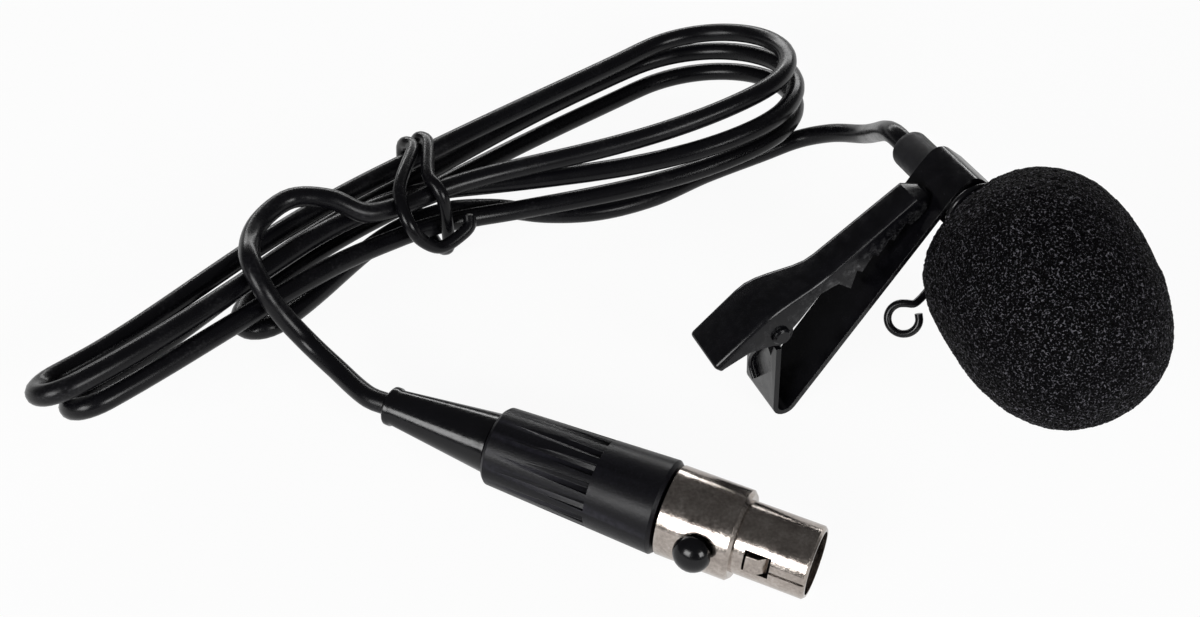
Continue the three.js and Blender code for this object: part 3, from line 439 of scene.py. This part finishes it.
def nickel_plate():
    """Plated brass: warm nickel, bright with soft mottling, smudges and fine pits."""
    s = Surface("nickel").set(Metallic=1.0)
    smudge, mottle = s.grain(1.8, detail=5.0, rough=0.65), s.grain(0.3, rough=0.6)
    pits = s.cells(0.22)
    s.colour(s.ramp(s.blended(smudge, mottle, 0.4), (0.3, (0.29, 0.252, 0.226)),
                    (0.52, (0.46, 0.41, 0.372)), (0.72, (0.63, 0.58, 0.54))))
    s.roughness(s.spread(s.blended(smudge, mottle, 0.5), 0.1, 0.27))
    return s.bump((mottle, 0.007), (pits, 0.0025), (s.grain(1.2, detail=2.0), 0.012)).material


def plain_metal(name, light, dark, low, high, size=0.4):
    """Metal between two colours and between a low and a high roughness."""
    s = Surface(name).set(Metallic=1.0)
    s.colour(s.ramp(s.grain(size, detail=4.0), (0.3, dark), (0.7, light)))
    s.roughness(s.spread(s.grain(size / 2, detail=4.0), low, high))
    return s.bump((s.grain(size / 3, detail=2.0), 0.002)).material


def plain_plastic(name, light, dark, low, high):
    """Plastic between two colours and between a low and a high roughness."""
    size = 0.5
    s = Surface(name)
    s.colour(s.ramp(s.grain(size, detail=5.0), (0.3, dark), (0.7, light)))
    s.roughness(s.spread(s.grain(size / 2, detail=4.0), low, high))
    return s.bump((s.grain(size / 3, detail=2.0), 0.004)).material


finish = {
    "cord": cord_jacket("cord", 0.0034, 0.29, 0.0007),
    "tie": cord_jacket("tie", 0.003, 0.26, 0.0006),
    "soft_rubber": soft_rubber(),
    "foam": foam_material(),
    "black_steel": enamel(),
    "black_metal": satin_metal(),
    "mesh": plain_metal("mesh", (0.13, 0.13, 0.135), (0.05, 0.05, 0.052), 0.3, 0.5),
    "capsule": plain_metal("capsule", (0.78, 0.78, 0.77), (0.6, 0.6, 0.59), 0.22, 0.4),
    "board": plain_plastic("board", (0.012, 0.12, 0.045), (0.008, 0.08, 0.03), 0.3, 0.5),
    "wire": plain_plastic("wire", (0.42, 0.02, 0.012), (0.3, 0.014, 0.01), 0.3, 0.45),
    "bare": plain_metal("bare", (0.85, 0.42, 0.24), (0.66, 0.3, 0.16), 0.25, 0.45, 0.2),
    "gloss": moulded_gloss(),
    "housing": housing_material(),
    "nickel": nickel_plate(),
    "insert": plain_plastic("insert", black(0.013), black(0.006), 0.35, 0.55),
    "gold": plain_metal("gold", (0.9, 0.68, 0.3), (0.7, 0.5, 0.2), 0.2, 0.36, 0.3),
    "nylon": plain_plastic("nylon", (0.7, 0.66, 0.56), (0.6, 0.56, 0.47), 0.4, 0.6),
    "cut_metal": plain_metal("cut_metal", (0.9, 0.9, 0.88), (0.55, 0.55, 0.54), 0.2, 0.45, 0.2),
}
slot_of = {row["node"]: row["material_slot"] for row in frame["record"]["subparts"]}
body_of = {node: body for body, members in frame["record"]["behaviour"]["bodies"].items()
           for node in members}
for node_name, node_object in nodes.items():
    node_object.data.materials.clear()
    node_object.data.materials.append(finish[slot_of[node_name]])


# ---- making meshes and wires ----------------------------------------------------------
def wire(name, points, radius, sides, material):
    """A round wire along the points of the photographed lay."""
    data = bpy.data.curves.new(name, "CURVE")
    data.dimensions = "3D"
    data.bevel_depth = radius * MM
    data.bevel_resolution = sides // 4
    data.use_fill_caps = True
    spline = data.splines.new("POLY")
    spline.points.add(len(points) - 1)
    for target, point in zip(spline.points, points):
        target.co = (*place(point), 1)
    spline.use_smooth = True
    data.materials.append(finish[material])
    return link(bpy.data.objects.new(name, data))


def join_rings(bm, rings):
    """Faces from each ring of vertices to the next. A ring of one vertex is a pole."""
    count = max(len(ring) for ring in rings)
    for last, ring in zip(rings, rings[1:]):
        for k in range(count):
            n = (k + 1) % count
            corners = [last[k % len(last)], last[n % len(last)],
                       ring[n % len(ring)], ring[k % len(ring)]]
            bm.faces.new(list(dict.fromkeys(corners)))


def smooth_piece(bm, name, material):
    """The finished mesh as an object with a smooth skin."""
    mesh = bpy.data.meshes.new(name)
    bm.to_mesh(mesh)
    bm.free()
    mesh.materials.append(finish[material])
    mesh.shade_smooth()
    return link(bpy.data.objects.new(name, mesh))


# ---- cord and tie ---------------------------------------------------------------------
GAP = 0.3  # between a wire and what it is wound round

route = cord_route()
cord = wire("cord", route, CORD / 2, 24, "cord")

TIE_WIRE, TIE_SPACING = 1.6, 0.4
TIE_ALONG = 63.3  # along the hank's axis. The places below are ahead of it.
TIE_SLACK = 0.35  # how much wider than the hank its corners are
TIE_NEAR, TIE_FAR = -5.6, 0.8  # where the first wrap crosses the near and the far side
TIE_SECOND_NEAR = -1.4
TIE_CORNER_STEPS = 3
TIE_TAIL = [(1.1, -7.9, 3.5), (0.6, -8.6, 2.7), (-1.2, -9.0, 2.1), (-3.9, -9.1, 2.0),
            (-6.0, -8.5, 3.9), (-6.8, -7.4, 6.3)]


def tie_route():
    """Once and a half round the waist, from the curled tail to an end on the far side."""
    clear = (CORD + TIE_WIRE) / 2 + GAP
    near, far = -WAIST["half"] - HANK_STEP_OUT, WAIST["half"] + HANK_STEP_OUT / 2
    top = (HANK_LOOPS - 1) * HANK_LAYER

    def corner(ahead, out, up, start, turn=math.pi / 2):
        angles = [start - turn * i / TIE_CORNER_STEPS for i in range(TIE_CORNER_STEPS + 1)]
        return [(ahead, out + (clear + TIE_SLACK) * math.cos(a), up + clear * math.sin(a))
                for a in angles]

    sections = [
        *TIE_TAIL,
        (TIE_NEAR, near, top + clear),
        *corner(TIE_FAR, far, top, math.pi / 2),
        *corner(TIE_FAR / 2, far, 0, 0),
        *corner(TIE_SECOND_NEAR, near, 0, -math.pi / 2),
        *corner(TIE_SECOND_NEAR, near, top, math.pi),
        *corner(TIE_FAR + TIE_WIRE + GAP, far, top, math.pi / 2, 2 * math.pi / 3),
    ]
    return curve_through([hank_point(TIE_ALONG + ahead, out, up / HANK_LAYER)
                          for ahead, out, up in sections], TIE_SPACING)


tie_points = tie_route()
tie = wire("twist_tie_wire", tie_points, TIE_WIRE / 2, 20, "tie")

CORE_RINGS = [(-0.3, 0.42), (0.1, 0.42), (0.2, 0.36), (0.24, 0.2)]  # (reach, radius)
CORE_SIDES = 16
CORE_CORNER = math.radians(40)


def tie_core():
    """The bright cut end of the steel core, standing a little proud of its jacket."""
    ahead = (tie_points[0] - tie_points[3]).normalized()
    across = ahead.orthogonal().normalized()
    up = ahead.cross(across)
    angles = [2 * math.pi * k / CORE_SIDES for k in range(CORE_SIDES)]
    spokes = [across * math.cos(angle) + up * math.sin(angle) for angle in angles]
    bm = bmesh.new()
    rings = [[bm.verts.new(place(tie_points[0] + ahead * reach + spoke * radius))
              for spoke in spokes] for reach, radius in CORE_RINGS]
    bm.faces.new(reversed(rings[0]))
    join_rings(bm, rings)
    bm.faces.new(rings[-1])
    bmesh.ops.recalc_face_normals(bm, faces=bm.faces)
    piece = smooth_piece(bm, "twist_tie_core", "cut_metal")
    piece.data.set_sharp_from_angle(angle=CORE_CORNER)
    return piece


core = tie_core()


# ---- hook and the spring's end --------------------------------------------------------
def on_mic(x, y, z):
    """A point of the microphone's own frame in the photographed lay."""
    return MIC_POINT + MIC_AXES[0] * x + MIC_AXES[1] * y + MIC_AXES[2] * z


CLIP_WIDTH, BODY_RADIUS = 6.4, 2.15
HOOK_WIRE, HOOK_SPACING = 0.86, 0.25
HOOK_WRAP, HOOK_WRAP_STEPS = math.radians(300), 10  # round the microphone's neck
HOOK_DROP = 1.5  # how far down the wire leaves the neck, in the wrap's radii
HOOK_SHANK = [(4.0, -7.0, -3.1), (4.3, -9.3, -2.8), (4.85, -10.9, -2.1), (5.05, -11.6, -1.55)]
HOOK_EYE_AT, HOOK_EYE_INNER, HOOK_EYE_TWIST = (5.3, -13.5, -1.6), 2.5, math.radians(40)
HOOK_EYE_STEP, HOOK_EYE_STEPS = -30, 11  # degrees


def hook_route():
    """Round the neck of the microphone, down its shank and round the eye."""
    neck = CLIP_WIDTH / 2 + GAP + HOOK_WIRE / 2
    ring = BODY_RADIUS + GAP + HOOK_WIRE / 2
    eye = (HOOK_EYE_INNER + HOOK_WIRE) / 2
    across = (math.cos(HOOK_EYE_TWIST), 0, -math.sin(HOOK_EYE_TWIST))

    def on_eye(angle):
        return [c + eye * (math.cos(angle) * (k == 1) + math.sin(angle) * across[k])
                for k, c in enumerate(HOOK_EYE_AT)]

    points = []
    for i in range(HOOK_WRAP_STEPS + 1):
        angle = mix(HOOK_WRAP - math.pi / 2, -math.pi / 2, i / HOOK_WRAP_STEPS)
        points.append((neck, ring * math.cos(angle), ring * math.sin(angle)))
    points += [(neck, -HOOK_DROP * ring, -ring), *HOOK_SHANK]
    points += [on_eye(math.radians(HOOK_EYE_STEP * (i + 1))) for i in range(HOOK_EYE_STEPS)]
    return curve_through([on_mic(*p) for p in points], HOOK_SPACING)


hook = wire("cable_hook_wire", hook_route(), HOOK_WIRE / 2, 16, "black_steel")

LEG_FACE = (-27.51, 4.72)  # y and z of a place on the leg's outer face
LEG_DOWN = math.radians(43)  # the face's slope from there, down towards the thumb
SPRING_END_WIRE, SPRING_END_SPACING = 0.56, 0.15
SPRING_END_PROUD = 0.01  # between the wire and the face
SPRING_END = [(0.35, -24.95), (-0.33, -25.58), (-1.2, -26.55), (-1.85, -27.6),
              (-1.89, -28.35), (-1.4, -28.87), (-0.8, -29.26)]  # x and y on the face


def spring_end_route():
    """The spring's end that comes out over the leg and lies on its outer face in an S."""
    lift = SPRING_END_WIRE / 2 + SPRING_END_PROUD
    points = [on_mic(x, y - lift * math.sin(LEG_DOWN),
                     LEG_FACE[1] + (y - LEG_FACE[0]) * math.tan(LEG_DOWN)
                     + lift * math.cos(LEG_DOWN)) for x, y in SPRING_END]
    return curve_through(points, SPRING_END_SPACING)


spring_end = wire("clip_spring_end", spring_end_route(), SPRING_END_WIRE / 2, 12, "black_steel")

# ---- foam windscreen ------------------------------------------------------------------
# A superellipsoid on the microphone, cut flat at its rear, where the bore begins.
FOAM_LONG, FOAM_ACROSS = 13.72, 11.2  # its half sizes
FOAM_FULLNESS = 2.36  # 2 is an ellipsoid, more is squarer
FOAM_TAPER = -0.07  # how much wider the front is than the middle
FOAM_CENTRE = Vector((14.01, -1.97, -6.12))
FOAM_TURN, FOAM_DIP = math.radians(-16.8), math.radians(14.9)
FOAM_REAR, FOAM_BORE_DEPTH, FOAM_BORE = 5.1, 9.7, 3.8
FOAM_COLUMNS = 288
OUTER_ROWS, REAR_ROWS, BORE_ROWS, FLOOR_ROWS = 176, 26, 34, 8
RIM_HALVINGS = 40  # of the angle at which the skin meets the flat rear

PORE, PORE_DEPTH, PORE_STEEP = 0.5, 0.16, 1.5
FINE_PORE, FINE_DEPTH, FINE_STEEP = PORE * 0.45, 0.1, 1.6
FINE_SHIFT = Vector((7, 3, 1))  # keeps the fine pores off the large ones
LUMP, LUMPS = 0.1, ((0.35, 1.0), (1.1, 0.5))  # (waves in a mm, share)
SKIN_SINKS = 0.08  # everywhere


def foam_rows():
    """The foam's skin from its front pole over the outside, the rear face and the bore."""
    turn = Matrix.Rotation(FOAM_TURN, 3, "Z") @ Matrix.Rotation(FOAM_DIP, 3, "Y")
    axes = [turn @ Vector(v) for v in ((1, 0, 0), (0, 1, 0), (0, 0, 1))]

    def skin(t, spoke):
        ahead = math.copysign(abs(math.cos(t)) ** (2 / FOAM_FULLNESS), math.cos(t))
        out = abs(math.sin(t)) ** (2 / FOAM_FULLNESS) * (1 + FOAM_TAPER * ahead)
        return FOAM_CENTRE + axes[0] * (FOAM_LONG * ahead) + spoke * (FOAM_ACROSS * out)

    rows = [[] for _ in range(OUTER_ROWS + REAR_ROWS + BORE_ROWS + FLOOR_ROWS + 1)]
    for k in range(FOAM_COLUMNS):
        angle = 2 * math.pi * k / FOAM_COLUMNS
        spoke = axes[1] * math.cos(angle) + axes[2] * math.sin(angle)
        low, high = math.pi / 3, math.pi
        for _ in range(RIM_HALVINGS):
            turned = (low + high) / 2
            if skin(turned, spoke).x > FOAM_REAR:
                low = turned
            else:
                high = turned
        line = [skin(turned * i / OUTER_ROWS, spoke) for i in range(OUTER_ROWS + 1)]
        rim = line[-1]
        way = math.atan2(rim.z, rim.y)
        mouth = Vector((FOAM_REAR, FOAM_BORE * math.cos(way), FOAM_BORE * math.sin(way)))
        inner = mouth + Vector((FOAM_BORE_DEPTH, 0, 0))
        middle = Vector((inner.x, 0, 0))
        for start, end, steps in ((rim, mouth, REAR_ROWS), (mouth, inner, BORE_ROWS),
                                  (inner, middle, FLOOR_ROWS)):
            line += [start.lerp(end, i / steps) for i in range(1, steps + 1)]
        for row, point in zip(rows, line):
            row.append(point)
    return rows


def pit(at, steep):
    """How deep a place is in the pore of its cell, from 0 at the rim to 1 in the middle."""
    return 1 - min(noise.voronoi(at)[0][0] * steep, 1)


def make_foam():
    """The foam with its pores cut into the skin, and the skin a little lumpy."""
    rows = foam_rows()
    bm = bmesh.new()
    join_rings(bm, [[bm.verts.new(p) for p in row]
                    for row in (rows[0][:1], *rows[1:-1], rows[-1][:1])])
    bmesh.ops.recalc_face_normals(bm, faces=bm.faces)
    bm.normal_update()
    for vertex in bm.verts:
        at = vertex.co
        lump = sum(share * noise.noise(at * waves) for waves, share in LUMPS)
        out = (-PORE_DEPTH * pit(at / PORE, PORE_STEEP)
               - FINE_DEPTH * pit(at / FINE_PORE + FINE_SHIFT, FINE_STEEP)
               + LUMP * lump - SKIN_SINKS)
        vertex.co = place(on_mic(*(at + vertex.normal * out)))
    return smooth_piece(bm, "windscreen_foam", "foam")


foam = make_foam()


# ---- rigid pieces with finished edges -------------------------------------------------
def mic_frame(co):
    """A vertex of the model in the microphone's own frame, in mm."""
    away = co / MM + ORIGIN - MIC_POINT
    return Vector([away.dot(axis) for axis in MIC_AXES])


def ease(bm, wanted, width):
    """Rounds those corners of a mesh whose ends, in the microphone's frame, are wanted."""
    sharp = math.radians(30)
    edges = [e for e in bm.edges if e.is_manifold and e.calc_face_angle(0) > sharp
             and wanted([mic_frame(v.co) for v in e.verts])]
    bmesh.ops.bevel(bm, geom=edges, offset=width * MM, segments=5, profile=0.5,
                    affect="EDGES", clamp_overlap=False)


def jaw_corners(bm):
    """The pressed jaw's skin turns down round its thumb end and its tip."""
    at_back, thumb_height, thumb_round = 0.05, 1.0, 0.5
    at_tip, tip_length, tip_front, tip_height, tip_round = 0.3, 1.35, 0.9, 0.75, 0.3
    at = [mic_frame(v.co) for v in bm.verts]
    back, tip = min(p.y for p in at), max(p.y for p in at)
    thumb = max(p.z for p in at if p.y < back + at_back)
    top = max(p.z for p in at if p.y > tip - at_tip)
    ease(bm, lambda ends: all(p.y < back + at_back for p in ends)
         and max(p.z for p in ends) > thumb - thumb_height, thumb_round)
    ease(bm, lambda ends: all(p.y > tip - tip_length and p.z > top - tip_height for p in ends)
         and max(p.y for p in ends) > tip - tip_front, tip_round)


def slimmed(bm):
    """The plug's sleeve narrows evenly towards the cord. Its bore stays as it is."""
    start, length, narrow, bore_radius = 13.3, 19.3, 0.85, 4.3
    for vertex in bm.verts:
        away = vertex.co / MM + ORIGIN - PLUG_REAR
        along = away.dot(PLUG_AXIS)
        spoke = away - PLUG_AXIS * along
        if spoke.length > bore_radius:
            spoke *= mix(narrow, 1, min(max((along - start) / length, 0), 1))
            vertex.co = place(PLUG_REAR + PLUG_AXIS * along + spoke)


def finished(node, bevel=0.0, segments=2, corner=34.0, flat=1.2, shape=None):
    """A copy of a CAD piece with its flat faces whole, its edges eased and its skin smooth.
    Faces that meet at less than flat become one, and edges sharper than corner are eased."""
    same_place = 0.002 * MM
    bm = bmesh.new()
    bm.from_mesh(nodes[node].data)
    bmesh.ops.remove_doubles(bm, verts=bm.verts, dist=same_place)
    bmesh.ops.dissolve_limit(bm, angle_limit=math.radians(flat), verts=bm.verts, edges=bm.edges)
    if shape:
        shape(bm)
    bm.verts.index_update()
    points = [v.co.copy() for v in bm.verts]
    faces = [[v.index for v in f.verts] for f in bm.faces]
    bm.free()
    mesh = bpy.data.meshes.new(node + "_finished")
    mesh.from_pydata(points, [], faces)
    mesh.materials.append(finish[slot_of[node]])
    mesh.shade_smooth()
    mesh.set_sharp_from_angle(angle=math.radians(corner))
    piece = link(bpy.data.objects.new(node + "_finished", mesh))
    if bevel:
        edges = piece.modifiers.new("edges", "BEVEL")
        edges.width = bevel * MM
        edges.segments = segments
        edges.limit_method = "ANGLE"
        edges.angle_limit = math.radians(corner)
        edges.harden_normals = True
    return piece


pieces = {
    "mic_strain_relief": finished("mic_strain_relief"),
    "mic_body": finished("mic_body", 0.06),
    "mic_grille": finished("mic_grille", 0.05),
    "clip_lower_jaw": finished("clip_lower_jaw", 0.2, segments=4),
    "clip_upper_jaw": finished("clip_upper_jaw", 0.14, segments=3, shape=jaw_corners),
    "clip_pivot_pin": finished("clip_pivot_pin", 0.06),
    "plug_boot": finished("plug_boot", 0.1, segments=3),
    "plug_housing": finished("plug_housing", 0.07, corner=30, shape=slimmed),
    "plug_shell": finished("plug_shell", 0.07),
    "plug_insert": finished("plug_insert", 0.05),
    "latch_lever": finished("latch_lever", 0.05),
    "latch_button": finished("latch_button", 0.08, segments=3, corner=40),
}
for node_name, piece in pieces.items():
    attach(piece, body_of[node_name])
    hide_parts(node_name)


def wind_spring():
    """A finished copy of the torsion spring stands in for the CAD one, with its place baked
    into its mesh.
    """
    spring = finished("clip_spring", corner=75, flat=0.2)
    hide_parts("clip_spring")
    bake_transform(spring)


wind_spring()

# ---- pieces on their bodies -----------------------------------------------------------
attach(foam, "foam")
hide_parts("windscreen")
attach(hook, "microphone")
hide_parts("cable_hook")
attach(spring_end, "clip")
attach(tie, "microphone")
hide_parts("twist_tie")
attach(core, "microphone")
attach(cord, "microphone")
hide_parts("cord_mic_lead", "cord_hank", "cord_plug_lead")
on_cord = [pieces[n] for n in ("plug_boot", "plug_housing", "plug_shell", "plug_insert",
                               "latch_lever", "latch_button")]
on_cord += [nodes[n] for n in ("plug_cable_chuck", "plug_contact_1", "plug_contact_2",
                               "plug_contact_3")]

# ---- studio ---------------------------------------------------------------------------
FLOOR_GLOW, FLOOR_MIRRORED, FLOOR_COLOUR = 0.94, 0.6, (0.88, 0.88, 0.88, 1)
FLOOR_REACH = 1.5
# Brightness by height, from 0 at the horizon to 1 overhead.
SKY = ((0.0, 0.22), (0.2, 0.12), (0.5, 0.07), (0.9, 0.1))
# Each lamp's name, its place and what it points at, its width and height, and its power.
LAMPS = (("front_left", (-0.34, -0.36, 0.22), (-0.02, 0.0, 0.0), (0.25, 0.2), 1.8),
         ("front_right", (0.3, -0.4, 0.24), (0.0, 0.0, 0.0), (0.25, 0.2), 1.8),
         ("back_low", (-0.05, 0.5, 0.15), (-0.02, 0.0, 0.0), (0.7, 0.07), 1.3))


def lamp(name, at, towards, size, power):
    data = bpy.data.lights.new(name, "AREA")
    data.shape = "RECTANGLE"
    data.size, data.size_y = size
    data.energy = power
    light = link(bpy.data.objects.new(name, data))
    light.location = Vector(at)
    light.rotation_euler = (Vector(towards) - Vector(at)).to_track_quat("-Z", "Y").to_euler()


def make_world():
    """A soft studio for the metal to reflect: brightest at the horizon, dim above it."""
    world = bpy.data.worlds.new("world")
    bpy.context.scene.world = world
    world.use_nodes = True
    tree = world.node_tree
    tree.nodes.clear()
    place_node = tree.nodes.new("ShaderNodeTexCoord")
    split = tree.nodes.new("ShaderNodeSeparateXYZ")
    tree.links.new(place_node.outputs["Generated"], split.inputs["Vector"])
    ramp = tree.nodes.new("ShaderNodeValToRGB")
    set_stops(ramp, [(height, (level, level, level)) for height, level in SKY])
    tree.links.new(split.outputs["Z"], ramp.inputs["Fac"])
    back = tree.nodes.new("ShaderNodeBackground")
    out = tree.nodes.new("ShaderNodeOutputWorld")
    tree.links.new(ramp.outputs["Color"], back.inputs["Color"])
    tree.links.new(back.outputs[0], out.inputs[0])


def make_floor():
    """A pale floor that the camera and mirrors see as near white, with the shadow kept."""
    mesh = bpy.data.meshes.new("floor")
    mesh.from_pydata([(-FLOOR_REACH, -FLOOR_REACH, 0), (FLOOR_REACH, -FLOOR_REACH, 0),
                      (FLOOR_REACH, FLOOR_REACH, 0), (-FLOOR_REACH, FLOOR_REACH, 0)],
                     [], [(0, 1, 2, 3)])
    floor = link(bpy.data.objects.new("floor", mesh))
    material = bpy.data.materials.new("floor")
    material.use_nodes = True
    tree = material.node_tree
    tree.nodes.clear()
    path = tree.nodes.new("ShaderNodeLightPath")
    total = None
    for ray, share in (("Is Camera Ray", FLOOR_GLOW), ("Is Glossy Ray", FLOOR_MIRRORED),
                       ("Is Transmission Ray", FLOOR_MIRRORED)):
        scaled = tree.nodes.new("ShaderNodeMath")
        scaled.operation = "MULTIPLY"
        scaled.inputs[1].default_value = share
        tree.links.new(path.outputs[ray], scaled.inputs[0])
        if total:
            either = tree.nodes.new("ShaderNodeMath")
            either.operation = "MAXIMUM"
            tree.links.new(total, either.inputs[0])
            tree.links.new(scaled.outputs[0], either.inputs[1])
            scaled = either
        total = scaled.outputs[0]
    matte = tree.nodes.new("ShaderNodeBsdfDiffuse")
    matte.inputs["Color"].default_value = FLOOR_COLOUR
    glow = tree.nodes.new("ShaderNodeEmission")
    glow.inputs["Strength"].default_value = 1.0
    blend = tree.nodes.new("ShaderNodeMixShader")
    tree.links.new(total, blend.inputs[0])
    tree.links.new(matte.outputs[0], blend.inputs[1])
    tree.links.new(glow.outputs[0], blend.inputs[2])
    out = tree.nodes.new("ShaderNodeOutputMaterial")
    tree.links.new(blend.outputs[0], out.inputs[0])
    mesh.materials.append(material)


bpy.context.scene.view_settings.view_transform = "Standard"
make_world()
make_floor()
for row in LAMPS:
    lamp(*row)
